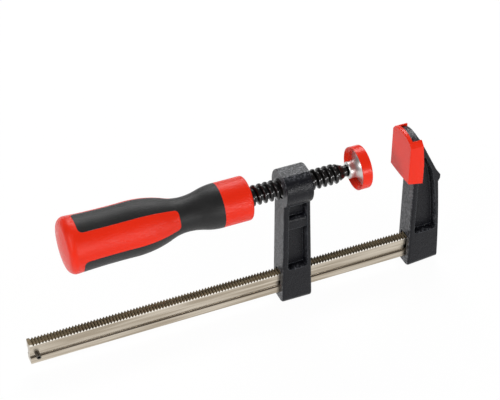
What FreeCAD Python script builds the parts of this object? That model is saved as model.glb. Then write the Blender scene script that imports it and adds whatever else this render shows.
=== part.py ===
import FreeCAD, Part
import math
import os
import Sketcher
from types import SimpleNamespace

# A quick release bar clamp: a toothed bar, a fixed arm whose jaw wears a plastic cap, an arm that
# slides along the bar, and a screw with a swivel pad and a handle in two plastics.
# Lengths are millimetres, angles degrees. +X runs along the bar from the handle to the fixed jaw,
# +Y across the bar, +Z up. The origin is on the screw's axis, on the face of the fixed jaw's cap.

doc = FreeCAD.newDocument("bar_clamp")
V = FreeCAD.Vector

# Driving sizes
SIZES = {
    # the bar
    "throat": 67.0,
    "bar_depth": 15.9,
    "bar_thickness": 6.35,
    "bar_reach": 250.0,
    "bar_in_socket": 14.0,
    "tooth_pitch": 2.0,
    "tooth_height": 1.6,
    "tooth_land": 0.12,
    "tooth_start": 1.65,
    "bar_head": 4.3,
    "bar_foot": 4.6,
    "channel_sink": 1.15,
    "channel_slant": 1.0,
    "channel_ledge": 0.35,
    # the roll pin at the bar's free end
    "stop_pin_diameter": 3.0,
    "stop_pin_wall": 0.5,
    "stop_pin_length": 13.0,
    "stop_pin_setback": 4.5,
    "stop_pin_slit": 0.6,
    "stop_pin_fit": 0.02,
    # both arms
    "arm_thickness": 15.6,
    "arm_bottom_round": 4.2,
    "arm_edge_round": 0.7,
    "pocket_sink": 5.0,
    "pocket_draft": 12.0,
    "pocket_corner": 2.2,
    # the fixed arm
    "fixed_front": 7.0,
    "fixed_drop": 7.4,
    "fixed_toe_rise": 1.9,
    "fixed_depth_low": 21.6,
    "fixed_depth_heel": 17.4,
    "fixed_bulge": 0.6,
    "heel_level": 22.3,
    "heel_height": 5.4,
    "heel_out": 1.2,
    "heel_shoulder": 5.2,
    "heel_shoulder_in": 3.5,
    "head_back": 7.9,
    "head_slope_depth": 8.9,
    "fixed_front_round": 1.6,
    "socket_fit": 0.05,
    "socket_mouth_depth": 3.0,
    "socket_mouth_gap": 0.95,
    "socket_mouth_above": 1.6,
    "fixed_pocket_above_bar": 5.0,
    "fixed_pocket_front_frame": 3.0,
    "fixed_pocket_back_frame": 2.7,
    "fixed_pocket_depth_top": 6.8,
    # the fixed jaw's cap
    "cap_half_width": 12.4,
    "cap_side_top": 13.7,
    "cap_shoulder_in": 1.9,
    "cap_shoulder_up": 2.6,
    "cap_crown": 19.0,
    "cap_bottom": 13.9,
    "cap_bottom_bulge": 0.6,
    "cap_face_wall": 2.4,
    "cap_side_wall": 1.8,
    "cap_skirt_depth": 10.2,
    "cap_skirt_fall": 2.2,
    "cap_back_lean": 1.9,
    "cap_back_lean_from": 2.0,
    "cap_top_gap": 9.4,
    "cap_fit": 0.1,
    "cap_edge_round": 0.5,
    # the sliding arm
    "opening": 26.1,
    "pad_to_boss": 39.4,
    "boss_radius": 12.35,
    "boss_length": 18.0,
    "boss_flat": 11.5,
    "stem_front_lean": 2.9,
    "sliding_drop": 7.6,
    "sliding_toe_rise": 0.3,
    "slot_above": 1.4,
    "slot_below": 0.45,
    "slot_beside": 0.5,
    "stem_frame_back": 3.3,
    "stem_frame_front": 2.6,
    "stem_edge_round": 1.3,
    "pocket_below_boss": 0.3,
    "rib_top": 21.2,
    "rib_bottom": 29.4,
    "rib_recess": 0.9,
    "rib_round": 3.0,
    "stem_pocket_above_bar": 4.6,
    # the screw
    "thread_diameter": 13.0,
    "thread_pitch": 4.0,
    "thread_depth": 2.1,
    "thread_crest": 0.7,
    "thread_root": 1.2,
    "thread_flank": 15.0,
    "thread_round_height": 0.9,
    "thread_round_bulge": 0.12,
    "thread_end_behind_pad": 14.9,
    "thread_end_drop": 2.3,
    "thread_end_run": 5.5,
    "handle_to_boss": 22.1,
    "bore_fit": 0.15,
    "tang_diameter": 8.6,
    "tang_length": 45.0,
    "tang_flats": 7.0,
    "tang_fit": 0.05,
    "ball_diameter": 7.4,
    "ball_neck_diameter": 4.6,
    "ball_behind_pad": 7.1,
    # the ring behind the pad
    "ring_diameter": 7.0,
    "ring_length": 2.1,
    "ring_fit": 0.05,
    # the swivel pad
    "ball_fit": 0.05,
    "cup_wall": 0.6,
    "cup_wrap": 38.0,
    "hub_diameter": 10.8,
    "hub_edge": 0.6,
    "hub_behind_ball": 4.5,
    "hub_straight_behind_ball": 0.9,
    "hub_mouth_diameter": 7.7,
    "dish_flare_diameter": 20.0,
    "dish_flare_bulge": 1.1,
    "dish_diameter": 23.8,
    "dish_edge": 1.5,
    "pad_cap_diameter": 27.8,
    "pad_cap_length": 6.9,
    "pad_cap_face_wall": 1.1,
    "pad_cap_lip": 0.5,
    "pad_cap_fit": 0.1,
    "pad_cap_rim": 0.5,
    "pad_cap_funnel": 2.0,
    "pad_cap_edge_round": 0.8,
    # the handle
    "handle_length": 118.6,
    "collar_length": 18.9,
    "collar_radius": 14.03,
    "collar_edge_round": 1.5,
    "waist_radius": 10.87,
    "waist_from_front": 40.9,
    "palm_radius": 17.0,
    "palm_from_front": 74.4,
    "palm_hollow": 0.42,
    "curve_split": 0.3,
    "butt_radius": 17.65,
    "butt_round": 4.9,
    "butt_dome": 1.4,
    "grip_thickness": 2.4,
    "window_from_front": 46.7,
    "window_angle": 62.0,
    "window_turn": 62.5,
    "window_count": 3,
    "window_corner": 2.4,
    "finger_to_butt": 9.6,
    "finger_corner": 3.0,
}

sheet = doc.addObject("Spreadsheet::Sheet", "Sizes")
for row, (name, number) in enumerate(SIZES.items(), start=1):
    sheet.set(f"A{row}", name)
    sheet.set(f"B{row}", str(number))
    sheet.setAlias(f"B{row}", name)
doc.recompute()


class Size:
    """A length or an angle: its number now, and the formula on the sheet that gives it."""

    def __init__(self, value, formula=None):
        self.value = float(value)
        self.formula = formula or f"{self.value:.9g}"

    def join(self, other, sign, value):
        return Size(value, f"({self.formula} {sign} {other.formula})")

    def __add__(self, other):
        other = size(other)
        return self.join(other, "+", self.value + other.value)

    def __sub__(self, other):
        other = size(other)
        return self.join(other, "-", self.value - other.value)

    def __mul__(self, other):
        other = size(other)
        return self.join(other, "*", self.value * other.value)

    def __truediv__(self, other):
        other = size(other)
        return self.join(other, "/", self.value / other.value)

    def __radd__(self, other):
        return size(other) + self

    def __rsub__(self, other):
        return size(other) - self

    def __rmul__(self, other):
        return size(other) * self

    def __neg__(self):
        return size(0) - self


def size(number):
    return number if isinstance(number, Size) else Size(number)


def square_root(number):
    return Size(math.sqrt(number.value), f"sqrt({number.formula})")


def sine(angle):
    return Size(math.sin(math.radians(angle.value)), f"sin({angle.formula} * 1 deg)")


def cosine(angle):
    return Size(math.cos(math.radians(angle.value)), f"cos({angle.formula} * 1 deg)")


def tangent(angle):
    return Size(math.tan(math.radians(angle.value)), f"tan({angle.formula} * 1 deg)")


s = SimpleNamespace(**{name: Size(number, f"Sizes.{name}") for name, number in SIZES.items()})

# Places along the screw and the bar that follow from the sizes
bar_top = -s.throat
bar_bottom = bar_top - s.bar_depth
tooth_root = bar_top - s.tooth_height
half_bar = s.bar_thickness / 2
half_arm = s.arm_thickness / 2
pad_front = -s.opening
ball_centre = pad_front - s.ball_behind_pad
thread_end = pad_front - s.thread_end_behind_pad
boss_front = pad_front - s.pad_to_boss
boss_back = boss_front - s.boss_length
handle_front = boss_back - s.handle_to_boss
handle_butt = handle_front - s.handle_length


def body_named(label):
    body = doc.addObject("PartDesign::Body", label)
    body.Label = label
    return body


def origin_part(body, role):
    return next(part for part in body.Origin.OriginFeatures if part.Role == role)


def sketch_on(body, role, name, offset=None, turn=None):
    """A sketch on one of the body's origin planes, moved along its normal by offset. On the XZ
    plane, turn swings the sketch about the X axis."""
    sketch = body.newObject("Sketcher::SketchObject", name)
    sketch.AttachmentSupport = (origin_part(body, role), [""])
    sketch.MapMode = "FlatFace"
    if offset is not None:
        sketch.setExpression(".AttachmentOffset.Base.z", offset.formula)
    if turn is not None:
        sketch.AttachmentOffset = FreeCAD.Placement(V(), FreeCAD.Rotation(V(1, 0, 0), 1))
        sketch.setExpression(".AttachmentOffset.Rotation.Angle", f"{turn.formula} * 1 deg")
    return sketch


def hold_point(sketch, geometry, end, u, v):
    """Holds one end of a sketch line or arc at the place (u, v)."""
    for kind, place, axis in (("DistanceX", size(u), -2), ("DistanceY", size(v), -1)):
        if abs(place.value) < 1e-9:
            sketch.addConstraint(Sketcher.Constraint("PointOnObject", geometry, end, axis))
            continue
        ends = (-1, 1, geometry, end) if place.value > 0 else (geometry, end, -1, 1)
        index = sketch.addConstraint(Sketcher.Constraint(kind, *ends, abs(place.value)))
        formula = place.formula if place.value > 0 else (-place).formula
        sketch.setExpression(f"Constraints[{index}]", formula)


def draw_outline(sketch, corners):
    """Draws a closed outline. A corner (u, v) is reached by a straight line from the corner
    before it, and a corner (u, v, bulge) by an arc that stands bulge to the left of that line,
    or to its right where bulge is negative."""
    links = []
    for before, corner in zip(corners[-1:] + corners[:-1], corners):
        u0, v0, u1, v1 = size(before[0]), size(before[1]), size(corner[0]), size(corner[1])
        start, end = V(u0.value, v0.value, 0), V(u1.value, v1.value, 0)
        if len(corner) == 2:
            links.append((sketch.addGeometry(Part.LineSegment(start, end)), 1, 2))
            continue
        side = 1 if size(corner[2]).value > 0 else -1
        bulge = size(corner[2]) * side
        chord_squared = (u1 - u0) * (u1 - u0) + (v1 - v0) * (v1 - v0)
        radius = chord_squared / (8 * bulge) + bulge / 2
        chord = end - start
        to_left = V(-chord.y, chord.x, 0).normalize()
        centre = (start + end) / 2 + to_left * (side * (bulge.value - radius.value))
        first, last = (end, start) if side > 0 else (start, end)
        angles = [math.atan2(p.y - centre.y, p.x - centre.x) for p in (first, last)]
        circle = Part.Circle(centre, V(0, 0, 1), radius.value)
        arc = sketch.addGeometry(Part.ArcOfCircle(circle, *angles))
        links.append((arc, 2, 1) if side > 0 else (arc, 1, 2))
        index = sketch.addConstraint(Sketcher.Constraint("Radius", arc, radius.value))
        sketch.setExpression(f"Constraints[{index}]", radius.formula)
    for link, following, corner in zip(links, links[1:] + links[:1], corners):
        sketch.addConstraint(
            Sketcher.Constraint("Coincident", link[0], link[2], following[0], following[1]))
        hold_point(sketch, link[0], link[2], corner[0], corner[1])


def round_bulge(radius, cosine_of_arc):
    """How far an arc of a radius stands off its chord, from the cosine of the arc's angle."""
    return radius * (1 - square_root((1 + cosine_of_arc) / 2))


def round_corner(before, corner, after, radius):
    """The two outline corners of an arc that takes the place of a sharp corner, for an outline
    that runs anticlockwise. The arc starts and ends a radius from the corner."""
    ends = []
    for other in (before, after):
        along, up = size(other[0]) - corner[0], size(other[1]) - corner[1]
        share = radius / square_root(along * along + up * up)
        ends.append((corner[0] + along * share, corner[1] + up * share))
    return [ends[0], ends[1] + (-round_bulge(radius, size(0)),)]


def draw_circle(sketch, radius, u=0, v=0):
    centre = V(size(u).value, size(v).value, 0)
    circle = sketch.addGeometry(Part.Circle(centre, V(0, 0, 1), radius.value))
    hold_point(sketch, circle, 3, u, v)
    index = sketch.addConstraint(Sketcher.Constraint("Radius", circle, radius.value))
    sketch.setExpression(f"Constraints[{index}]", radius.formula)


def bind(made, settings):
    """Sets an object's properties. A Size is bound to the sheet."""
    for key, setting in settings.items():
        if isinstance(setting, Size):
            made.setExpression(key, setting.formula)
        else:
            setattr(made, key, setting)


def feature(body, kind, name, sketch, **settings):
    """A PartDesign feature on a sketch."""
    made = body.newObject(f"PartDesign::{kind}", name)
    made.Profile = sketch
    bind(made, settings)
    return made


def turned(body, kind, name, sketch, angle=None):
    """A Revolution or a Groove about the X axis, all round or over an angle about the sketch."""
    made = feature(body, kind, name, sketch, ReferenceAxis=(origin_part(body, "X_Axis"), [""]))
    if angle is None:
        made.Angle = 360
    else:
        made.Midplane = True
        made.setExpression("Angle", angle.formula)
    return made


def repeated(body, kind, name, originals, **settings):
    """A pattern or a mirror of features, which becomes the body's tip."""
    made = body.newObject(f"PartDesign::{kind}", name)
    made.Originals = originals
    bind(made, settings)
    body.Tip = made
    return made


def mirrored(body, name, originals):
    return repeated(body, "Mirrored", name, originals,
                    MirrorPlane=(origin_part(body, "XZ_Plane"), [""]))


def dress(body, kind, name, size_name, amount, wanted):
    """A Fillet (size_name Radius) or a Chamfer (size_name Size) on the tip's wanted edges."""
    doc.recompute()
    base = body.Tip
    edges = [f"Edge{i}" for i, edge in enumerate(base.Shape.Edges, start=1) if wanted(edge)]
    made = body.newObject(f"PartDesign::{kind}", name)
    made.Base = (base, edges)
    made.setExpression(size_name, amount.formula)
    return made


def primitive(kind, name, place, rotation=FreeCAD.Rotation(), **settings):
    made = doc.addObject(f"Part::{kind}", name)
    made.Placement.Rotation = rotation
    bind(made, settings)
    bind(made, dict(zip((".Placement.Base.x", ".Placement.Base.y", ".Placement.Base.z"), place)))
    return made


def cut(label, base, tool):
    made = doc.addObject("Part::Cut", label)
    made.Base, made.Tool = base, tool
    made.Label = label
    return made


def near(number, place, within=0.02):
    return abs(number - size(place).value) < within


def all_points(edge, test):
    """True where both ends and the middle of an edge pass the test."""
    middle = edge.valueAt((edge.FirstParameter + edge.LastParameter) / 2)
    return all(test(point) for point in [vertex.Point for vertex in edge.Vertexes] + [middle])


# The bar, with teeth along its top edge and a channel along each side
bar = body_named("bar")
web = half_bar - s.channel_sink
head_bottom = tooth_root - s.bar_head
foot_top = bar_bottom + s.bar_foot
near_side = [
    (half_bar, bar_top), (half_bar, head_bottom), (web, head_bottom - s.channel_slant),
    (web, foot_top + s.channel_ledge), (half_bar, foot_top), (half_bar, bar_bottom),
]
far_side = [(-y, z) for y, z in reversed(near_side)]
profile = sketch_on(bar, "YZ_Plane", "BarProfile", offset=-s.bar_reach)
draw_outline(profile, near_side + far_side)
bar_length = s.bar_reach + s.fixed_front + s.bar_in_socket
feature(bar, "Pad", "BarPad", profile, Length=bar_length)

tooth = sketch_on(bar, "XZ_Plane", "ToothGap")
gap_start = -s.bar_reach + s.tooth_start
draw_outline(tooth, [
    (gap_start, bar_top), (gap_start + s.tooth_pitch / 2, tooth_root),
    (gap_start + s.tooth_pitch - s.tooth_land, bar_top),
])
first_gap = feature(bar, "Pocket", "FirstToothGap", tooth, Type="ThroughAll", Midplane=True)
tooth_count = Size((bar_length.value - SIZES["tooth_start"]) // SIZES["tooth_pitch"],
                   f"floor(({bar_length.formula} - Sizes.tooth_start) / Sizes.tooth_pitch)")
repeated(bar, "LinearPattern", "TeethAlongBar", [first_gap], Mode="Spacing",
         Direction=(origin_part(bar, "X_Axis"), [""]), Offset=s.tooth_pitch,
         Occurrences=tooth_count)

pin_x = -s.bar_reach + s.stop_pin_setback
pin_z = (head_bottom - s.channel_slant + foot_top + s.channel_ledge) / 2
pin_radius = s.stop_pin_diameter / 2
pin_hole = sketch_on(bar, "XZ_Plane", "StopPinHole")
draw_circle(pin_hole, pin_radius + s.stop_pin_fit, pin_x, pin_z)
feature(bar, "Pocket", "StopPinHoleCut", pin_hole, Type="ThroughAll", Midplane=True)

# The roll pin that stops the sliding arm at the bar's free end, a slit tube
half_pin = s.stop_pin_length / 2
across_bar = FreeCAD.Rotation(V(1, 0, 0), 90)
pin_skin = primitive("Cylinder", "StopPinSkin", (pin_x, half_pin, pin_z), across_bar,
                     Radius=pin_radius, Height=s.stop_pin_length)
pin_bore = primitive("Cylinder", "StopPinBore", (pin_x, half_pin, pin_z), across_bar,
                     Radius=pin_radius - s.stop_pin_wall, Height=s.stop_pin_length)
pin_slit = primitive("Box", "StopPinSlit",
                     (pin_x - s.stop_pin_diameter, -half_pin, pin_z - s.stop_pin_slit / 2),
                     Length=s.stop_pin_diameter, Width=s.stop_pin_length,
                     Height=s.stop_pin_slit)
bar_stop_pin = cut("bar_stop_pin", cut("StopPinTube", pin_skin, pin_bore), pin_slit)


def cap_outline(inset, fall):
    """The jaw cap's outline across the screw, in from its skin by inset, its bottom lower by
    fall. It has straight sides, sloping shoulders and a round crown."""
    side = s.cap_half_width - inset
    shoulder = side - s.cap_shoulder_in
    level = s.cap_side_top - inset / 2
    crown_rise = s.cap_crown - s.cap_side_top - s.cap_shoulder_up - inset / 2
    bottom = -s.cap_bottom + inset - fall
    return [
        (side, bottom, -s.cap_bottom_bulge), (side, level), (shoulder, level + s.cap_shoulder_up),
        (-shoulder, level + s.cap_shoulder_up, -crown_rise), (-side, level), (-side, bottom),
    ]


# The fixed arm, whose jaw head fills the cap and whose socket holds the bar
fixed_arm = body_named("fixed_arm")
front = s.fixed_front
heel = front + s.fixed_depth_heel
low_back = front + s.fixed_depth_low
fixed_bottom = bar_bottom - s.fixed_drop
head_top = s.cap_side_top + s.cap_shoulder_up / 2
shoulder_x = heel + s.heel_out - s.heel_shoulder_in
shoulder_z = -s.heel_level + s.heel_height + s.heel_shoulder
shape = sketch_on(fixed_arm, "XZ_Plane", "ArmProfile")
draw_outline(shape, [
    (front, fixed_bottom), (low_back, fixed_bottom + s.fixed_toe_rise),
    (heel, -s.heel_level, -s.fixed_bulge),
    (heel + s.heel_out, -s.heel_level + s.heel_height / 2),
    (heel + s.heel_out, -s.heel_level + s.heel_height), (shoulder_x, shoulder_z),
    (s.head_slope_depth, head_top), (front, head_top),
])
feature(fixed_arm, "Pad", "ArmPad", shape, Length=s.arm_thickness, Midplane=True)
dress(fixed_arm, "Fillet", "BottomRound", "Radius", s.arm_bottom_round, lambda edge: all_points(
    edge, lambda p: p.z < (fixed_bottom + s.fixed_toe_rise).value + 0.01
    and near(abs(p.y), half_arm)) and len(edge.Vertexes) == 2)
dress(fixed_arm, "Fillet", "FrontRound", "Radius", s.fixed_front_round, lambda edge: all_points(
    edge, lambda p: near(p.x, front) and near(abs(p.y), half_arm)))

pocket = sketch_on(fixed_arm, "XZ_Plane", "SidePocket", offset=half_arm)
pocket_low = bar_top + s.fixed_pocket_above_bar
pocket_left = front + s.fixed_pocket_front_frame
low_left = (pocket_left, pocket_low)
low_right = (low_back - s.fixed_pocket_back_frame, pocket_low)
inside_heel = (heel - s.fixed_pocket_back_frame, -s.heel_level)
draw_outline(pocket, [
    *round_corner((pocket_left, 0), low_left, low_right, s.pocket_corner),
    *round_corner(low_left, low_right, inside_heel, s.pocket_corner),
    inside_heel + (-s.fixed_bulge,), (shoulder_x - s.fixed_pocket_back_frame, shoulder_z),
    (front + s.fixed_pocket_depth_top, 0), (pocket_left, 0),
])
near_pocket = feature(fixed_arm, "Pocket", "SidePocketCut", pocket, Length=s.pocket_sink,
                      TaperAngle=-s.pocket_draft)
mirrored(fixed_arm, "SidePocketMirror", [near_pocket])

jaw_head = sketch_on(fixed_arm, "YZ_Plane", "JawHead", offset=s.cap_face_wall)
draw_outline(jaw_head, cap_outline(s.cap_side_wall + s.cap_fit, size(0)))
feature(fixed_arm, "Pad", "JawHeadPad", jaw_head, Length=s.head_back - s.cap_face_wall)

half_socket = half_bar + s.socket_fit
socket = sketch_on(fixed_arm, "YZ_Plane", "BarSocket", offset=front)
draw_outline(socket, [
    (half_socket, bar_top + s.socket_fit), (-half_socket, bar_top + s.socket_fit),
    (-half_socket, bar_bottom - s.socket_fit), (half_socket, bar_bottom - s.socket_fit),
])
feature(fixed_arm, "Pocket", "BarSocketCut", socket, Length=s.bar_in_socket, Reversed=True)
half_mouth = half_bar + s.socket_mouth_gap
mouth = sketch_on(fixed_arm, "YZ_Plane", "SocketMouth", offset=front)
draw_outline(mouth, [
    (half_mouth, bar_top + s.socket_mouth_above), (-half_mouth, bar_top + s.socket_mouth_above),
    (-half_mouth, bar_bottom - s.socket_fit), (half_mouth, bar_bottom - s.socket_fit),
])
feature(fixed_arm, "Pocket", "SocketMouthCut", mouth, Length=s.socket_mouth_depth,
        Reversed=True)

# The cap on the fixed jaw: a thick face with a skirt round the head, open on top and where the
# arm passes out below
fixed_jaw_cap = body_named("fixed_jaw_cap")
for name, kind, inset, start, length in (
        ("Skin", "AdditiveLoft", size(0), size(0), s.cap_skirt_depth),
        ("Hollow", "SubtractiveLoft", s.cap_side_wall, s.cap_face_wall, s.cap_skirt_depth)):
    start_fall = s.cap_skirt_fall * start / s.cap_skirt_depth
    first = sketch_on(fixed_jaw_cap, "YZ_Plane", name + "Front", offset=start)
    draw_outline(first, cap_outline(inset, start_fall))
    last = sketch_on(fixed_jaw_cap, "YZ_Plane", name + "Back", offset=length)
    draw_outline(last, cap_outline(inset, s.cap_skirt_fall))
    loft = feature(fixed_jaw_cap, kind, name + "Loft", first)
    loft.Sections = [last]
    loft.Ruled = True
top_cut = sketch_on(fixed_jaw_cap, "XY_Plane", "TopOpening", offset=s.cap_side_top)
draw_outline(top_cut, [
    (s.cap_face_wall, -s.cap_top_gap), (s.cap_skirt_depth * 2, -s.cap_top_gap),
    (s.cap_skirt_depth * 2, s.cap_top_gap), (s.cap_face_wall, s.cap_top_gap),
])
feature(fixed_jaw_cap, "Pocket", "TopOpeningCut", top_cut, Length=s.cap_crown, Reversed=True)
back_cut = sketch_on(fixed_jaw_cap, "XZ_Plane", "LeaningBack")
draw_outline(back_cut, [
    (s.cap_skirt_depth, -s.cap_back_lean_from),
    (s.cap_skirt_depth + s.cap_back_lean, -s.cap_back_lean_from),
    (s.cap_skirt_depth + s.cap_back_lean, s.cap_crown),
    (s.cap_skirt_depth - s.cap_back_lean, s.cap_crown),
])
feature(fixed_jaw_cap, "Pocket", "LeaningBackCut", back_cut, Type="ThroughAll", Midplane=True)
half_notch = half_arm + s.cap_fit
stem_cut = sketch_on(fixed_jaw_cap, "XY_Plane", "StemNotch", offset=size(0))
draw_outline(stem_cut, [
    (front - s.cap_fit, -half_notch), (s.cap_skirt_depth * 2, -half_notch),
    (s.cap_skirt_depth * 2, half_notch), (front - s.cap_fit, half_notch),
])
feature(fixed_jaw_cap, "Pocket", "StemNotchCut", stem_cut, Length=s.cap_crown * 2)
dress(fixed_jaw_cap, "Fillet", "FaceEdgeRound", "Radius", s.cap_edge_round,
      lambda edge: all_points(edge, lambda p: near(p.x, 0)))

# The sliding arm: a boss for the screw, and a stem with a slot that rides on the bar
sliding_arm = body_named("sliding_arm")
sliding_bottom = bar_bottom - s.sliding_drop
stem = sketch_on(sliding_arm, "XZ_Plane", "StemProfile")
toe = boss_front + s.stem_front_lean
draw_outline(stem, [
    (boss_back, 0), (boss_back, sliding_bottom + s.sliding_toe_rise), (toe, sliding_bottom),
    (boss_front, -s.boss_radius), (boss_front, 0),
])
feature(sliding_arm, "Pad", "StemPad", stem, Length=s.arm_thickness, Midplane=True)
dress(sliding_arm, "Fillet", "StemBottomRound", "Radius", s.arm_bottom_round,
      lambda edge: all_points(edge, lambda p: near(abs(p.y), half_arm) and p.z
                              < (sliding_bottom + s.sliding_toe_rise).value + 0.01))
dress(sliding_arm, "Fillet", "StemEdgeRound", "Radius", s.stem_edge_round,
      lambda edge: all_points(edge, lambda p: near(abs(p.y), half_arm)) and near(
          abs(edge.tangentAt(edge.FirstParameter).z), 1))

boss = sketch_on(sliding_arm, "XZ_Plane", "BossProfile")
rim = s.arm_edge_round
draw_outline(boss, [
    (boss_back, 0), (boss_front, 0), (boss_front, s.boss_radius - rim),
    (boss_front - rim, s.boss_radius, -round_bulge(rim, size(0))),
    (boss_back + rim, s.boss_radius),
    (boss_back, s.boss_radius - rim, -round_bulge(rim, size(0))),
])
turned(sliding_arm, "Revolution", "BossTurn", boss)
flat = sketch_on(sliding_arm, "XY_Plane", "BossFlat", offset=s.boss_flat)
draw_outline(flat, [
    (boss_back, -s.boss_radius), (boss_front, -s.boss_radius), (boss_front, s.boss_radius),
    (boss_back, s.boss_radius),
])
feature(sliding_arm, "Pocket", "BossFlatCut", flat, Length=s.boss_radius, Reversed=True)

pocket_back = boss_back + s.stem_frame_back
pocket_low = bar_top + s.stem_pocket_above_bar
under_boss = -square_root(s.boss_radius * s.boss_radius - half_arm * half_arm)


def pocket_front(z):
    """The front side of the stem's pocket at a level, parallel to the leaning stem."""
    lean = s.stem_front_lean * (s.boss_radius + z) / (s.boss_radius + sliding_bottom)
    return (boss_front - s.stem_frame_front + lean, z)


high_back = (pocket_back, under_boss - s.pocket_below_boss)
high_front = pocket_front(under_boss - s.pocket_below_boss)
stem_back, stem_front = (pocket_back, pocket_low), pocket_front(pocket_low)
pocket = sketch_on(sliding_arm, "XZ_Plane", "StemPocket", offset=half_arm)
draw_outline(pocket, [
    *round_corner(high_back, stem_back, stem_front, s.pocket_corner),
    *round_corner(stem_back, stem_front, high_front, s.pocket_corner), high_front, high_back,
])
stem_pocket = feature(sliding_arm, "Pocket", "StemPocketCut", pocket, Length=s.pocket_sink,
                      TaperAngle=-s.pocket_draft)
mirrored(sliding_arm, "StemPocketMirror", [stem_pocket])

# A rib with a round top crosses the pockets and joins the stem's frame on both sides
rib_face = half_arm - s.rib_recess
rib_start = boss_back + s.stem_frame_back / 2
rib_shoulder = -s.rib_top - s.rib_round
rib = sketch_on(sliding_arm, "YZ_Plane", "Rib", offset=rib_start)
draw_outline(rib, [
    (-rib_face, -s.rib_bottom), (rib_face, -s.rib_bottom), (rib_face, rib_shoulder),
    (rib_face - s.rib_round, -s.rib_top, -round_bulge(s.rib_round, size(0))),
    (s.rib_round - rib_face, -s.rib_top),
    (-rib_face, rib_shoulder, -round_bulge(s.rib_round, size(0))),
])
feature(sliding_arm, "Pad", "RibPad", rib,
        Length=boss_front - s.stem_frame_front / 2 - rib_start)

half_slot = half_bar + s.slot_beside
slot = sketch_on(sliding_arm, "YZ_Plane", "BarSlot")
draw_outline(slot, [
    (half_slot, bar_top + s.slot_above), (-half_slot, bar_top + s.slot_above),
    (-half_slot, bar_bottom - s.slot_below), (half_slot, bar_bottom - s.slot_below),
])
feature(sliding_arm, "Pocket", "BarSlotCut", slot, Type="ThroughAll", Midplane=True)
bore = sketch_on(sliding_arm, "YZ_Plane", "ScrewBore")
draw_circle(bore, s.thread_diameter / 2 + s.bore_fit)
feature(sliding_arm, "Pocket", "ScrewBoreCut", bore, Type="ThroughAll", Midplane=True)


# The screw: a tang for the handle, a trapezoid thread and a ball on a neck
spindle = body_named("spindle")
thread_radius = s.thread_diameter / 2
tang_radius = s.tang_diameter / 2
tang_end = handle_front - s.tang_length
neck_radius = s.ball_neck_diameter / 2
ball_radius = s.ball_diameter / 2
neck_end = ball_centre - square_root(ball_radius * ball_radius - neck_radius * neck_radius)
blank = sketch_on(spindle, "XZ_Plane", "ScrewBlank")
draw_outline(blank, [
    (tang_end, 0), (ball_centre + ball_radius, 0),
    (ball_centre, ball_radius, -round_bulge(ball_radius, size(0))),
    (neck_end, neck_radius, -round_bulge(ball_radius, neck_radius / ball_radius)),
    (thread_end, neck_radius), (thread_end, thread_radius - s.thread_end_drop),
    (thread_end - s.thread_end_run, thread_radius), (handle_front, thread_radius),
    (handle_front, tang_radius), (tang_end, tang_radius),
])
turned(spindle, "Revolution", "ScrewTurn", blank)
half_root = s.thread_root / 2
half_gap = (s.thread_pitch - s.thread_crest) / 2
half_flank = half_root + (s.thread_depth - s.thread_round_height) * tangent(s.thread_flank)
half_over = (half_gap + s.thread_pitch / 2) / 2
root_radius = thread_radius - s.thread_depth
round_radius = thread_radius - s.thread_round_height
over_radius = thread_radius + s.thread_round_bulge
groove_at = handle_front - s.thread_pitch
gap = sketch_on(spindle, "XZ_Plane", "ThreadGap")
draw_outline(gap, [
    (groove_at - half_root, root_radius), (groove_at + half_root, root_radius),
    (groove_at + half_flank, round_radius),
    (groove_at + half_gap, thread_radius, s.thread_round_bulge),
    (groove_at + half_over, over_radius), (groove_at - half_over, over_radius),
    (groove_at - half_gap, thread_radius),
    (groove_at - half_flank, round_radius, s.thread_round_bulge),
])
feature(spindle, "SubtractiveHelix", "ThreadGapHelix", gap, Mode="pitch-height-angle",
        ReferenceAxis=(origin_part(spindle, "X_Axis"), [""]), Pitch=s.thread_pitch,
        Height=thread_end - handle_front + 2 * s.thread_pitch)
tang_flat = sketch_on(spindle, "XZ_Plane", "TangFlat", offset=s.tang_flats / 2)
draw_outline(tang_flat, [
    (tang_end, -tang_radius), (handle_front, -tang_radius), (handle_front, tang_radius),
    (tang_end, tang_radius),
])
near_flat = feature(spindle, "Pocket", "TangFlatCut", tang_flat, Length=tang_radius,
                    Reversed=True)
mirrored(spindle, "TangFlatMirror", [near_flat])

# The ring on the screw's neck, between the thread and the pad
swivel_collar = body_named("swivel_collar")
ring = sketch_on(swivel_collar, "XZ_Plane", "RingProfile")
ring_back = thread_end + s.ring_fit
draw_outline(ring, [
    (ring_back, neck_radius + s.ring_fit), (ring_back + s.ring_length, neck_radius + s.ring_fit),
    (ring_back + s.ring_length, s.ring_diameter / 2), (ring_back, s.ring_diameter / 2),
])
turned(swivel_collar, "Revolution", "RingTurn", ring)

# The cup that wraps the ball inside the pad's hub
ball_cup = body_named("ball_cup")
cup_in = ball_radius + s.ball_fit
cup_out = cup_in + s.cup_wall
lip_sine, lip_cosine = sine(s.cup_wrap), cosine(s.cup_wrap)
cup = sketch_on(ball_cup, "XZ_Plane", "CupProfile")
draw_outline(cup, [
    (ball_centre + cup_in, 0, round_bulge(cup_in, size(0))), (ball_centre + cup_out, 0),
    (ball_centre, cup_out, -round_bulge(cup_out, size(0))),
    (ball_centre - cup_out * lip_sine, cup_out * lip_cosine, -round_bulge(cup_out, lip_cosine)),
    (ball_centre - cup_in * lip_sine, cup_in * lip_cosine),
    (ball_centre, cup_in, round_bulge(cup_in, lip_cosine)),
])
turned(ball_cup, "Revolution", "CupTurn", cup)

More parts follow.
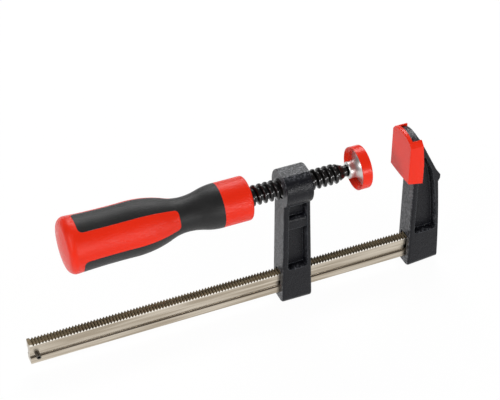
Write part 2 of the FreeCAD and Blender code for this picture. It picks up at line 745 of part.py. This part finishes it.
# The pad: a metal dish that tilts on the cup, and the plastic cap that snaps over its rim
pad_dish = body_named("pad_dish")
seat = cup_out + s.ball_fit
hub_radius = s.hub_diameter / 2
mouth_radius = s.hub_mouth_diameter / 2
hub_rear = ball_centre - s.hub_behind_ball
dish_front = pad_front - s.pad_cap_face_wall
dish_rear = dish_front - s.dish_edge
dish_radius = s.dish_diameter / 2
dish = sketch_on(pad_dish, "XZ_Plane", "DishProfile")
draw_outline(dish, [
    (hub_rear, mouth_radius),
    (ball_centre - square_root(seat * seat - mouth_radius * mouth_radius), mouth_radius),
    (ball_centre, seat, round_bulge(seat, mouth_radius / seat)), (dish_front, seat),
    (dish_front, dish_radius), (dish_rear, dish_radius), (dish_rear, s.dish_flare_diameter / 2),
    (ball_centre - s.hub_straight_behind_ball, hub_radius, s.dish_flare_bulge),
    (hub_rear + s.hub_edge, hub_radius), (hub_rear, hub_radius - s.hub_edge),
])
turned(pad_dish, "Revolution", "DishTurn", dish)

pad_cap = body_named("pad_cap")
cap_radius = s.pad_cap_diameter / 2
cap_rear = pad_front - s.pad_cap_length
groove_radius = dish_radius + s.pad_cap_fit
lip_radius = dish_radius - s.pad_cap_lip
pad_shell = sketch_on(pad_cap, "XZ_Plane", "PadCapProfile")
draw_outline(pad_shell, [
    (dish_front, 0), (pad_front, 0), (pad_front, cap_radius), (cap_rear, cap_radius),
    (cap_rear, cap_radius - s.pad_cap_rim), (cap_rear + s.pad_cap_funnel, lip_radius),
    (dish_rear, lip_radius), (dish_rear, groove_radius), (dish_front, groove_radius),
])
turned(pad_cap, "Revolution", "PadCapTurn", pad_shell)
dress(pad_cap, "Fillet", "PadCapEdgeRound", "Radius", s.pad_cap_edge_round, lambda edge: (
    near(edge.Vertexes[0].Point.x, pad_front) and near(edge.BoundBox.YMax, cap_radius)))


def s_curve(x0, r0, x1, r1, split):
    """The two corners of an S of two arcs from one place to the next. The arcs run along the
    axis at both ends and meet in one tangent at the share split of the way."""
    along, rise = x0 - x1, r1 - r0
    chord = square_root(along * along + rise * rise)
    lean = chord * (chord - along) / (2 * rise)
    return [
        (x0 - along * split, r0 + rise * split, lean * split),
        (x1, r1, -lean * (1 - split)),
    ]


def handle_side(inset):
    """The handle's side from the collar's end to the butt, in from its skin by inset."""
    waist = (handle_front - s.waist_from_front, s.waist_radius - inset)
    palm = (handle_front - s.palm_from_front, s.palm_radius - inset)
    collar = (handle_front - s.collar_length, s.collar_radius - inset)
    return [
        collar, *s_curve(*collar, *waist, size(0.5)), *s_curve(*waist, *palm, s.curve_split),
        (handle_butt + s.butt_round + s.butt_dome, s.butt_radius - inset, s.palm_hollow),
    ]


def backwards(corners):
    """The same way along an outline's corners from its end to its start."""
    bulges = [(-corner[2],) if len(corner) == 3 else () for corner in corners[1:]] + [()]
    places = [corner[:2] for corner in corners]
    return [places[-1]] + [
        place + bulge for place, bulge in zip(places[-2::-1], bulges[-2::-1])]


# The soft black grip: a sleeve over the waist with three fingers that run towards the butt
handle_grip = body_named("handle_grip")
sleeve = sketch_on(handle_grip, "XZ_Plane", "SleeveProfile")
draw_outline(sleeve, handle_side(size(0)) + backwards(handle_side(s.grip_thickness)))
turned(handle_grip, "Revolution", "SleeveTurn", sleeve)
finger_end = handle_butt + s.finger_to_butt
window_front = handle_front - s.window_from_front
beyond_butt = handle_butt - s.butt_round
over_skin = s.butt_radius + s.grip_thickness
under_skin = s.waist_radius - 2 * s.grip_thickness


def grip_groove(name, x, turn=None, angle=None):
    """Takes the sleeve away from x to beyond the butt, all round or over an angle."""
    outline = sketch_on(handle_grip, "XZ_Plane", name, turn=turn)
    draw_outline(outline, [
        (x, under_skin), (beyond_butt, under_skin), (beyond_butt, over_skin), (x, over_skin),
    ])
    return turned(handle_grip, "Groove", name + "Groove", outline, angle)


grip_groove("FingerEnd", finger_end)
window = grip_groove("Window", window_front, s.window_turn, s.window_angle)
repeated(handle_grip, "PolarPattern", "Windows", [window],
         Axis=(origin_part(handle_grip, "X_Axis"), [""]), Angle=360,
         Occurrences=s.window_count)


def radial_edge_at(x):
    return lambda edge: edge.Curve.TypeId == "Part::GeomLine" and all_points(
        edge, lambda p: near(p.x, x))


dress(handle_grip, "Fillet", "WindowCorners", "Radius", s.window_corner,
      radial_edge_at(window_front))
dress(handle_grip, "Fillet", "FingerCorners", "Radius", s.finger_corner,
      radial_edge_at(finger_end))

# The hard red core: the handle's whole form, less the grip that lies in it and the tang's hole
handle_blank = body_named("handle_blank")
blank_profile = sketch_on(handle_blank, "XZ_Plane", "HandleProfile")
shoulder_round = s.collar_edge_round
butt_side = s.butt_radius - s.butt_round
dome_radius = (butt_side * butt_side / s.butt_dome + s.butt_dome) / 2
dome_bulge = round_bulge(dome_radius, 1 - s.butt_dome / dome_radius)
draw_outline(blank_profile, [
    (handle_front, 0), (handle_front, s.collar_radius - shoulder_round),
    (handle_front - shoulder_round, s.collar_radius, -round_bulge(shoulder_round, size(0))),
    *handle_side(size(0)),
    (handle_butt + s.butt_dome, butt_side, -round_bulge(s.butt_round, size(0))),
    (handle_butt, 0, -dome_bulge),
])
turned(handle_blank, "Revolution", "HandleTurn", blank_profile)
hole_flat = s.tang_flats / 2 + s.tang_fit
hole_radius = tang_radius + s.tang_fit
hole_side = square_root(hole_radius * hole_radius - hole_flat * hole_flat)
tang_hole = sketch_on(handle_blank, "YZ_Plane", "TangHole", offset=handle_front)
draw_outline(tang_hole, [
    (hole_flat, hole_side), (-hole_flat, hole_side, hole_side - hole_radius),
    (-hole_flat, -hole_side), (hole_flat, -hole_side, hole_side - hole_radius),
])
feature(handle_blank, "Pocket", "TangHoleCut", tang_hole, Length=s.tang_length + s.tang_fit)
handle_core = cut("handle_core", handle_blank, handle_grip)

# Every object has to be sound before a file is written
doc.recompute()
nodes = [
    bar, bar_stop_pin, fixed_arm, fixed_jaw_cap, sliding_arm, spindle, swivel_collar, ball_cup,
    pad_dish, pad_cap, handle_core, handle_grip,
]
faults = [f"{item.Label}: {item.State}" for item in doc.Objects
          if "Invalid" in item.State or "Error" in item.State]
faults += [f"{node.Label}: shape is empty or not valid" for node in nodes
           if node.Shape.isNull() or not node.Shape.isValid() or not node.Shape.Solids]
if faults:
    raise RuntimeError("\n".join(faults))
os.makedirs("parts", exist_ok=True)
for node in nodes:
    node.Shape.exportStep(f"parts/{node.Label}.step")
    box = node.Shape.optimalBoundingBox()
    print(f"{node.Label}: {len(node.Shape.Solids)} solid, {node.Shape.Volume:.1f} mm3, "
          f"x {box.XMin:.2f} to {box.XMax:.2f}, y {box.YMin:.2f} to {box.YMax:.2f}, "
          f"z {box.ZMin:.2f} to {box.ZMax:.2f}")
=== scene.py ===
import bpy
import math
from mathutils import Matrix, Vector


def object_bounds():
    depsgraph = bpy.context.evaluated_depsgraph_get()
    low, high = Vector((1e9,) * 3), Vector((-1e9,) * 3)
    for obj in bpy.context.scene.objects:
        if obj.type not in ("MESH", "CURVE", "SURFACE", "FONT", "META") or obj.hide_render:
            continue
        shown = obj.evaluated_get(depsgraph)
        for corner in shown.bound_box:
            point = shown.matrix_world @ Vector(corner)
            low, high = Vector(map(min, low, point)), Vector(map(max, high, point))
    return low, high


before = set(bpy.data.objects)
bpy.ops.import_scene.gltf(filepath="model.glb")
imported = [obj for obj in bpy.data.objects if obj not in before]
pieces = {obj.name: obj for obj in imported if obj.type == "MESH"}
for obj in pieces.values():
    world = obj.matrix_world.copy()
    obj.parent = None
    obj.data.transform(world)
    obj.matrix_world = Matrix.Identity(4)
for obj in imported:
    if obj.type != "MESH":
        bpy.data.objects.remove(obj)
cad_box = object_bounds()

# %% [markdown]
# # A quick release bar clamp
#
# The clamp's pieces come from its CAD model, each as its own mesh in metres: a toothed bar, a
# fixed arm whose jaw wears a red cap, an arm that slides on the bar, and a screw with a swivel
# pad and a handle of two plastics. Their forms are already right, so this lesson is about what
# makes them look real: the light, and a finish of its own for each material. The pieces could
# be modelled again by hand, but a finish that is worked out from a point's place needs no
# unwrapped mesh and moves along with its piece.

# %% The pieces and their size
lowest, highest = cad_box
print(len(pieces), "pieces, in mm:", [round(side * 1000, 1) for side in highest - lowest])

MM = 0.001

# %% [markdown]
# ## The camera
#
# The photograph was taken from above and from the handle's side, with a long lens, so that the
# bar's edges run almost parallel. A camera could be aimed with a constraint, but here its three
# axes are written down from its heading and its tilt, which leaves nothing to solve. The lens is
# in millimetres and the standpoint in metres.

# %% The camera looks along the bar and down
LENS = 112.8
STANDPOINT = (-0.3944, -0.6810, 0.6014)
heading = math.radians(23.16)
tilt = math.radians(39.2)
look = Vector((math.sin(heading) * math.cos(tilt), math.cos(heading) * math.cos(tilt),
               -math.sin(tilt)))
right = Vector((math.cos(heading), -math.sin(heading), 0))
camera = bpy.data.objects.new("camera", bpy.data.cameras.new("camera"))
camera.data.sensor_width = 36
camera.data.lens = LENS
camera.matrix_world = Matrix((right, right.cross(look), -look)).transposed().to_4x4()
camera.location = STANDPOINT
bpy.context.scene.collection.objects.link(camera)
bpy.context.scene.camera = camera
print("The camera is", round(camera.location.length, 3), "m from the jaw's face.")

# %% [markdown]
# ## Maps
#
# A finish varies over a surface: grain, streaks, dirt, worn edges. In Blender each of these is
# a chain of nodes. Dragging the chains together in the editor works for one material, but
# nine are easier to read as sums. So a small class stands for the output of a node, and
# adding or multiplying two of them adds the Math node that does it.

# %% A node's output that can be reckoned with
class Map:
    """What one node's output gives at each point of a surface."""

    def __init__(self, socket):
        self.socket = socket

    def node(self, kind, settings=(), sockets=(), output=0):
        """Adds a node to the same material: first its settings, then its sockets' values or
        links. The answer is the Map of one of its outputs."""
        tree = self.socket.id_data
        made = tree.nodes.new("ShaderNode" + kind)
        for key, value in dict(settings).items():
            setattr(made, key, value)
        for key, value in dict(sockets).items():
            if isinstance(value, Map):
                tree.links.new(value.socket, made.inputs[key])
            else:
                made.inputs[key].default_value = value
        return Map(made.outputs[output])

    def math(self, operation, first, second):
        return self.node("Math", {"operation": operation}, {0: first, 1: second})

    def __add__(self, other):
        return self.math("ADD", self, other)

    def __radd__(self, other):
        return self.math("ADD", other, self)

    def __sub__(self, other):
        return self.math("SUBTRACT", self, other)

    def __rsub__(self, other):
        return self.math("SUBTRACT", other, self)

    def __mul__(self, other):
        return self.math("MULTIPLY", self, other)

    def __rmul__(self, other):
        return self.math("MULTIPLY", other, self)


print("Sums that a Map can do:", [name for name in vars(Map) if name[2:-2] in
                                 ("add", "radd", "sub", "rsub", "mul", "rmul")])

# %% A new finish starts from a point's place
def new_finish(name, **shader_values):
    """A material with one Principled shader. The values that are the same all over are set on
    the shader's own sockets. The answer is the material, its shader and the place Map."""
    material = bpy.data.materials.new(name)
    material.use_nodes = True
    tree = material.node_tree
    shader = tree.nodes["Principled BSDF"]
    for key, value in shader_values.items():
        shader.inputs[key.replace("_", " ")].default_value = value
    place = Map(tree.nodes.new("ShaderNodeTexCoord").outputs["Object"])
    return material, shader, place


def feed(shader, **maps):
    """Links Maps to the shader's sockets, such as Base_Color or Roughness."""
    for key, value in maps.items():
        shader.id_data.links.new(value.socket, shader.inputs[key.replace("_", " ")])


# %% Grain, steps, blends and bumps
def grain(place, size, detail=2.0, stretch=(1, 1, 1), roughness=0.5):
    """A noise whose lumps are about size across, drawn out along an axis by stretch."""
    drawn = place.node("VectorMath", {"operation": "DIVIDE"}, {0: place, 1: stretch})
    return place.node("TexNoise", (), {
        "Vector": drawn, "Scale": 1 / size, "Detail": detail, "Roughness": roughness})


def step(value, low, high):
    """0 below low and 1 above high, with a smooth way between."""
    return value.node("MapRange", {"interpolation_type": "SMOOTHSTEP"}, {
        "Value": value, "From Min": low, "From Max": high})


def blend(share, colour, other):
    """One colour turning to the other as the share goes from 0 to 1. The Mix node has sockets
    of the same names for numbers and vectors, so its colour sockets are picked by place."""
    colour_a, colour_b, colour_result = 6, 7, 2
    return share.node("Mix", {"data_type": "RGBA"}, {
        "Factor": share, colour_a: colour, colour_b: other}, output=colour_result)


def raised(height, distance, normal):
    """Light falls on the surface as if it rose by height times distance."""
    return height.node("Bump", (), {
        "Strength": 1.0, "Distance": distance, "Height": height, "Normal": normal})


def axis_part(vector, axis):
    """The x, y or z of a place or a direction."""
    return vector.node("SeparateXYZ", (), {"Vector": vector}, output="XYZ".index(axis))


def rgb(red, green, blue):
    """A colour as a picture editor shows it, from 0 to 255, as light."""
    shares = [channel / 255 for channel in (red, green, blue)]
    return (*[c / 12.92 if c < 0.04045 else ((c + 0.055) / 1.055) ** 2.4 for c in shares], 1)


print("Nickel as light:", [round(channel, 3) for channel in rgb(190, 181, 164)])

# %% [markdown]
# ## Edges
#
# No real edge is sharp. A cast arm's edges are rounded by most of a millimetre, a moulded cap's
# by a few tenths, and light runs along them as a thin line. A Bevel modifier would cut these
# rounds into the mesh, but the CAD pieces stay as they are, so the Bevel node rounds the
# surface's direction near an edge instead. Where that direction differs from the flat one there
# is an edge, and that also tells where paint thins and rubs away, and where a lighter colour is
# painted along the edge as a painted highlight. Only the bar goes without it, because it would
# blur teeth as small as these.

# %% Softened edges, and a mask of where they are
def soft_edges(place, radius):
    """The surface's direction with its edges rounded, and a mask that is 1 along them."""
    rounded = place.node("Bevel", {"samples": 8}, {"Radius": radius})
    flat = place.node("NewGeometry", output="Normal")
    same = place.node("VectorMath", {"operation": "DOT_PRODUCT"}, {0: rounded, 1: flat},
                      output="Value")
    return rounded, step(1 - same, 0.02, 0.25)


# %% [markdown]
# ## The bar
#
# The bar is cold drawn steel with a dull nickel plate. Drawing leaves hair lines along it, and
# nickel is warmer than chrome. Its top edge is a row of teeth. Their ends, which look sideways,
# are painted almost white, a painted highlight for their rounded ends, and their flanks and tops
# are coloured a dull dark brown. A thin dark line is painted along the lower corner of the
# channel, a painted shade for that corner. The hair lines are a noise drawn out three hundred
# times along the bar, and the brown and the painted shade are placed by height: above the teeth's
# roots wherever the surface doesn't look sideways, and in a narrow strip at the channel's corner.

# %% Drawn and plated steel for the bar
TOOTH_ROOT = -68.6 * MM
CORNER_SHADE_LOW = -78.3 * MM
CORNER_SHADE_HIGH = -78.05 * MM


def drawn_bar_finish():
    material, shader, place = new_finish("drawn nickel bar")
    hair = grain(place, 0.12 * MM, detail=3, stretch=(300, 1, 1))
    bands = grain(place, 3 * MM, detail=2, stretch=(20, 1, 1))
    facing = place.node("TexCoord", output="Normal")
    on_side = step(axis_part(facing, "Y") * axis_part(facing, "Y"), 0.5, 0.9)
    height = axis_part(place, "Z")
    on_tooth = step(height - TOOTH_ROOT, -0.05 * MM, 0.15 * MM)
    in_gap = on_tooth * (1 - on_side)
    # A narrow strip at the channel's lower corner: painted shade, darker and duller there.
    corner_shade = (step(height, CORNER_SHADE_LOW - 0.05 * MM, CORNER_SHADE_LOW)
             - step(height, CORNER_SHADE_HIGH, CORNER_SHADE_HIGH + 0.15 * MM))
    nickel = blend(step(bands, 0.35, 0.65), rgb(172, 160, 142), rgb(212, 202, 186))
    streaked = blend(step(hair, 0.4, 0.8) * 0.35, nickel, rgb(138, 126, 110))
    corner_shaded = blend(corner_shade * 0.8, streaked, rgb(66, 54, 43))
    # The teeth's sideways ends are painted almost white: a painted highlight.
    tooth_end_highlight = blend(on_tooth * on_side, corner_shaded, rgb(248, 242, 232))
    # The teeth's flanks and tops are coloured a dull dark brown.
    tooth_brown = blend(step(bands, 0.4, 0.65), rgb(88, 77, 55), rgb(132, 118, 89))
    feed(shader, Base_Color=blend(in_gap * 0.95, tooth_end_highlight, tooth_brown),
         Metallic=1 - in_gap * 0.75 - corner_shade * 0.6,
         Roughness=0.22 + hair * 0.16 + in_gap * 0.35 + corner_shade * 0.3,
         Normal=raised(hair, 0.005 * MM, place.node("NewGeometry", output="Normal")))
    return material


bar_finish = drawn_bar_finish()
print("The bar's finish has", len(bar_finish.node_tree.nodes), "nodes.")

# %% [markdown]
# ## The stop pin
#
# A slit spring pin across the bar's end keeps the sliding arm on. It is bare spring steel, bent
# round from a long strip, so the strip's marks run along the pin, and it is darker than nickel.

# %% Spring steel for the stop pin
def spring_pin_finish():
    material, shader, place = new_finish("rolled spring pin", Metallic=1.0)
    rounded, edge = soft_edges(place, 0.12 * MM)
    rolled = grain(place, 0.15 * MM, detail=2, stretch=(1, 40, 1))
    feed(shader, Base_Color=blend(rolled, rgb(128, 124, 118), rgb(94, 90, 85)),
         Roughness=0.34 + rolled * 0.12 - edge * 0.06,
         Normal=raised(rolled, 0.008 * MM, rounded))
    return material


pin_finish = spring_pin_finish()
print("The pin's finish has", len(pin_finish.node_tree.nodes), "nodes.")

# %% [markdown]
# ## The cast arms
#
# Both arms are sand cast iron under a blue-black paint. The sand leaves a fine grain that the
# paint softens but doesn't hide, and on it lie the slow waves of the mould. Light breaks up on
# the grain into specks. On the arms' broad sides the paint is thick and dark. The faces that
# don't look sideways are painted a lighter, grainy grey: partly the thin, dry paint on them, and
# partly painted light for the faces turned to the back and left lamps. Along the edges the paint
# is glossier, and its colour is painted lighter, partly rubbed paint and partly a painted
# highlight.
# Sculpted pits would need millions of faces, so the grain is a bump of two noises, one of about a
# millimetre and one of several. The walls of the arms' pockets don't look sideways either, but
# the Ambient Occlusion node keeps them in the dark paint, a painted shade there.

# %% Painted casting for the two arms
POCKET_SHADE_REACH = 6 * MM


def cast_arm_finish():
    material, shader, place = new_finish(
        "painted casting", Specular_IOR_Level=0.22, Coat_Roughness=0.1)
    rounded, edge = soft_edges(place, 0.7 * MM)
    sand = grain(place, 1.3 * MM, detail=4, roughness=0.7)
    waves = grain(place, 6 * MM, detail=2)
    crests = step(sand, 0.48, 0.58)
    sideways = axis_part(place.node("TexCoord", output="Normal"), "Y")
    # Where the Ambient Occlusion node finds the pocket walls near, the arms keep the dark paint:
    # painted shade.
    pocket_shade_openness = place.node("AmbientOcclusion", {"samples": 8, "only_local": True},
                          {"Distance": POCKET_SHADE_REACH}, output="AO")
    beyond_pocket_shade = step(pocket_shade_openness, 0.7, 0.95)
    # Faces that don't look sideways are painted lighter grey: partly thin dry paint, partly
    # painted light.
    lit_narrow_faces = beyond_pocket_shade * (1 - step(sideways * sideways, 0.15, 0.5))
    paint = blend(waves, rgb(19, 19, 25), rgb(12, 12, 17))
    dry_and_lit_grey = blend(crests, rgb(38, 39, 43), rgb(106, 107, 112))
    thin_and_lit = blend(lit_narrow_faces * 0.9, blend(beyond_pocket_shade * crests * 0.2, paint, rgb(40, 42, 50)), dry_and_lit_grey)
    # Edges are painted a lighter blue-grey: partly rubbed paint, partly a painted highlight.
    feed(shader, Base_Color=blend(edge * 0.4, thin_and_lit, rgb(104, 112, 124)),
         Roughness=0.34 - crests * 0.12 - edge * 0.06,
         Coat_Weight=edge,
         Normal=raised(sand, 0.25 * MM, raised(waves, 0.25 * MM, rounded)))
    return material


arm_finish = cast_arm_finish()
print("The arms' finish has", len(arm_finish.node_tree.nodes), "nodes.")

# %% [markdown]
# ## The red plastic
#
# The handle's core and both caps are one red plastic. The handle's mould was spark eroded,
# which gives its skin a fine sparkle, while the caps, which touch the work, are smoother. The
# same recipe makes both, with the depth of the sparkle and the width of the edges as its choices.

# %% Moulded red plastic for the core and the caps
def moulded_red_finish(name, sparkle, edge_radius):
    material, shader, place = new_finish(name, Specular_IOR_Level=0.22)
    rounded, edge = soft_edges(place, edge_radius)
    spark = grain(place, 0.6 * MM, detail=3, roughness=0.7)
    flow = grain(place, 14 * MM, detail=2)
    red = blend(flow, rgb(253, 49, 20), rgb(247, 42, 15))
    # The edges are painted a lighter red: a painted highlight.
    feed(shader, Base_Color=blend(edge * 0.3, red, rgb(255, 84, 52)),
         Roughness=0.2 + spark * 0.14 - flow * 0.04,
         Normal=raised(spark, sparkle, rounded))
    return material


core_finish = moulded_red_finish("sparkling red core", 0.2 * MM, 0.3 * MM)
cap_finish = moulded_red_finish("smooth red caps", 0.05 * MM, 0.4 * MM)
print("Reds:", core_finish.name, "and", cap_finish.name)

# %% [markdown]
# ## The screw
#
# The screw is rolled, so its thread has round crests, and then blackened in a hot bath and
# oiled. The oxide is nearly black, but the oil on it is smooth, so each turn of the thread
# carries a thin white line of light. A low roughness under a clear coat gives that line, the
# Bevel node rounds the crests, and where they are worn the steel shows through.

# %% Oiled black oxide for the screw and its ring
def black_screw_finish():
    material, shader, place = new_finish(
        "oiled black oxide", Specular_IOR_Level=0.3, Coat_Roughness=0.06)
    rounded, edge = soft_edges(place, 0.45 * MM)
    bath = grain(place, 2.5 * MM, detail=3)
    scratch = grain(place, 0.1 * MM, detail=2, stretch=(1, 12, 12))
    worn = edge * step(bath, 0.45, 0.65)
    oxide = blend(bath, rgb(26, 23, 22), rgb(15, 14, 14))
    feed(shader, Base_Color=blend(worn * 0.3, oxide, rgb(88, 82, 76)),
         Metallic=0.2 + worn * 0.5,
         Roughness=0.24 + bath * 0.12,
         Coat_Weight=0.35 - worn * 0.2,
         Normal=raised(scratch, 0.006 * MM, rounded))
    return material


screw_finish = black_screw_finish()
print("The screw's finish has", len(screw_finish.node_tree.nodes), "nodes.")

# %% [markdown]
# ## The swivel pad
#
# Behind the red cap is a die cast dish of bright zinc that was turned smooth, so fine rings
# run round the screw's axis. A Wave texture could draw them, but its rings are all alike. A
# noise that reads only a point's distance from the axis gives rings of uneven depth. The ball
# inside turns in a black nylon cup.

# %% Turned zinc for the dish, and nylon for the cup
def turned_dish_finish():
    material, shader, place = new_finish("turned bright zinc", Metallic=1.0)
    rounded, _ = soft_edges(place, 0.3 * MM)
    across = place.node("VectorMath", {"operation": "MULTIPLY"}, {0: place, 1: (0, 1, 1)})
    radius = place.node("VectorMath", {"operation": "LENGTH"}, {0: across}, output="Value")
    ring_place = place.node("CombineXYZ", (), {"X": axis_part(place, "X"), "Y": radius})
    rings = grain(ring_place, 0.12 * MM, detail=2)
    tarnish = grain(place, 3 * MM, detail=3)
    feed(shader, Base_Color=blend(tarnish, rgb(226, 226, 224), rgb(206, 207, 206)),
         Roughness=0.3 + rings * 0.12 + tarnish * 0.1,
         Normal=raised(rings, 0.008 * MM, rounded))
    return material


def nylon_cup_finish():
    material, shader, place = new_finish("black nylon cup")
    rounded, edge = soft_edges(place, 0.15 * MM)
    skin = grain(place, 0.3 * MM, detail=2)
    feed(shader, Base_Color=blend(skin, rgb(38, 38, 40), rgb(28, 28, 30)),
         Roughness=0.5 + skin * 0.1 - edge * 0.08,
         Normal=raised(skin, 0.01 * MM, rounded))
    return material


dish_finish = turned_dish_finish()
cup_finish = nylon_cup_finish()
print("The pad's finishes:", dish_finish.name, "and", cup_finish.name)

# %% [markdown]
# ## The soft grip
#
# The black sleeve is a soft rubber moulded over the core. It is matt, with a skin like very
# fine leather, and at grazing angles it looks a little grey, as dust and the softness of
# rubber make it. A little sheen gives that, more simply than a second layer would.

# %% Matt rubber for the grip
def soft_grip_finish():
    material, shader, place = new_finish(
        "soft black grip", Sheen_Weight=0.04, Sheen_Roughness=0.5, Specular_IOR_Level=0.25)
    rounded, edge = soft_edges(place, 0.25 * MM)
    skin = grain(place, 0.8 * MM, detail=4, roughness=0.7)
    rubbed = grain(place, 11 * MM, detail=2)
    feed(shader, Base_Color=blend(rubbed, rgb(40, 40, 40), rgb(30, 30, 30)),
         Roughness=0.3 + skin * 0.16 + rubbed * 0.06 - edge * 0.05,
         Normal=raised(skin, 0.2 * MM, rounded))
    return material


grip_finish = soft_grip_finish()
print("The grip's finish has", len(grip_finish.node_tree.nodes), "nodes.")

# %% [markdown]
# ## Each piece gets its finish
#
# A finish goes into the material slots of a piece's object, so the mesh itself isn't touched.

# %% Finishes to pieces
finish_of = {
    "bar": bar_finish,
    "bar_stop_pin": pin_finish,
    "fixed_arm": arm_finish,
    "sliding_arm": arm_finish,
    "fixed_jaw_cap": cap_finish,
    "pad_cap": cap_finish,
    "handle_core": core_finish,
    "handle_grip": grip_finish,
    "spindle": screw_finish,
    "swivel_collar": screw_finish,
    "pad_dish": dish_finish,
    "ball_cup": cup_finish,
}
for name, piece in pieces.items():
    for material_slot in piece.material_slots:
        material_slot.material = finish_of[name]
print("Pieces without a finish:", sorted(set(pieces) - set(finish_of)))

# %% [markdown]
# ## The floor
#
# The clamp stands on a white table that is far wider than the picture. A white sheet under
# strong lamps would light the clamp from below and wash it out. So the table is plain white
# paint for the light, and what the camera sees of it, straight, in a reflection or through
# something clear, is mixed with a white glow. The rest of the mix keeps the clamp's soft shadow.

# %% A white table
TABLE_REACH = 3.0
GLOW_SHARE = 0.94
near, far = -TABLE_REACH, TABLE_REACH
floor_mesh = bpy.data.meshes.new("table")
floor_mesh.from_pydata([(near, near, 0), (far, near, 0), (far, far, 0), (near, far, 0)], [],
                       [(0, 1, 2, 3)])
floor = bpy.data.objects.new("table", floor_mesh)
floor.location.z = lowest.z
bpy.context.scene.collection.objects.link(floor)


def table_finish():
    material, shader, place = new_finish(
        "white table", Base_Color=rgb(232, 232, 232), Roughness=0.9)
    seen = place.node("LightPath", output="Is Camera Ray")
    mirrored = place.node("LightPath", output="Is Glossy Ray")
    through = place.node("LightPath", output="Is Transmission Ray")
    glow = place.node("Emission", (), {"Color": (1, 1, 1, 1), "Strength": 1.02})
    mixed = place.node("MixShader", (), {
        0: (seen + mirrored + through) * GLOW_SHARE, 1: Map(shader.outputs["BSDF"]), 2: glow})
    output = material.node_tree.nodes["Material Output"]
    material.node_tree.links.new(mixed.socket, output.inputs["Surface"])
    return material


floor_mesh.materials.append(table_finish())
print("The table is at", round(floor.location.z * 1000, 1), "mm.")

# %% [markdown]
# ## The light
#
# Product photographs are lit by soft boxes. One stands low in front and draws the white specks
# on the thread and the bright band along the boss. A long one behind grazes the tops, brings out
# the grain of the castings and runs as a line along the handle, and one on the left fills the
# faces that look that way. The room gives an even light. Together they light a surface so that
# its colour comes out about as it is written.

# %% Soft boxes round the clamp
ROOM_LIGHT = 0.23
middle = (lowest + highest) / 2


def soft_box(name, offset, width, height, power):
    """A lamp of width by height metres and so many watts, aimed at the clamp's middle."""
    lamp = bpy.data.lights.new(name, "AREA")
    lamp.shape = "RECTANGLE"
    lamp.size = width
    lamp.size_y = height
    lamp.energy = power
    box = bpy.data.objects.new(name, lamp)
    box.location = middle + Vector(offset)
    box.rotation_euler = (middle - box.location).to_track_quat("-Z", "Y").to_euler()
    bpy.context.scene.collection.objects.link(box)


soft_box("front box", (0.32, -1.0, 0.2), 0.35, 0.09, 4.4)
soft_box("back box", (0.35, 0.8, 0.72), 0.9, 0.35, 8.0)
soft_box("left box", (-0.9, -0.35, 0.6), 0.35, 0.35, 4.6)

world = bpy.data.worlds.new("room")
world.use_nodes = True
background = world.node_tree.nodes["Background"]
background.inputs["Color"].default_value = (1, 1, 1, 1)
background.inputs["Strength"].default_value = ROOM_LIGHT
bpy.context.scene.world = world
bpy.context.scene.view_settings.view_transform = "Standard"
print("Lamps:", [lamp.name for lamp in bpy.data.lights])

# %% [markdown]
# ## The size
#
# Finishes don't change sizes.
